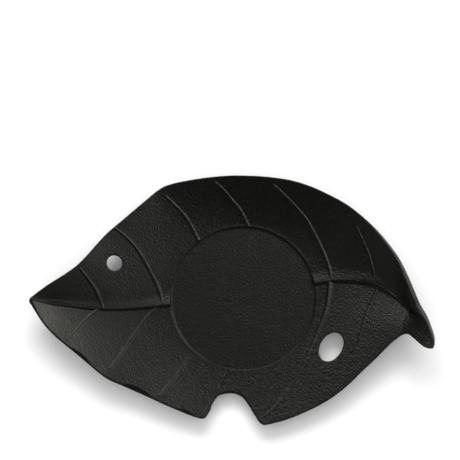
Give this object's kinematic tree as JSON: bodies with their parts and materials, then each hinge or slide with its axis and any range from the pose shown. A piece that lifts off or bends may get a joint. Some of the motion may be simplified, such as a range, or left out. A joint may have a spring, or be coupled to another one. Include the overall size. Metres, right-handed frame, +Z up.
{
  "type": "cast iron leaf dish",
  "caption": "Leaf-shaped cast iron dish with a round cup recess, raised veins, a curled tail and pierced leaf bites, on rubber feet.",
  "frame": {"origin": "middle of the dish's box, on the surface that its feet stand on", "axes": "+X from the leaf's tip to its curled tail, +Y to the far edge opposite the bite, +Z up"},
  "size_m": [0.1524, 0.0948, 0.0238],
  "materials": {
    "black_iron": "satin black over a fine sand-cast grain",
    "foot_rubber": "matt"
  },
  "bodies": {
    "root": {"leaf_casting": "black_iron", "foot_front_left": "foot_rubber", "foot_front_right": "foot_rubber", "foot_rear": "foot_rubber"}
  },
  "joints": []
}
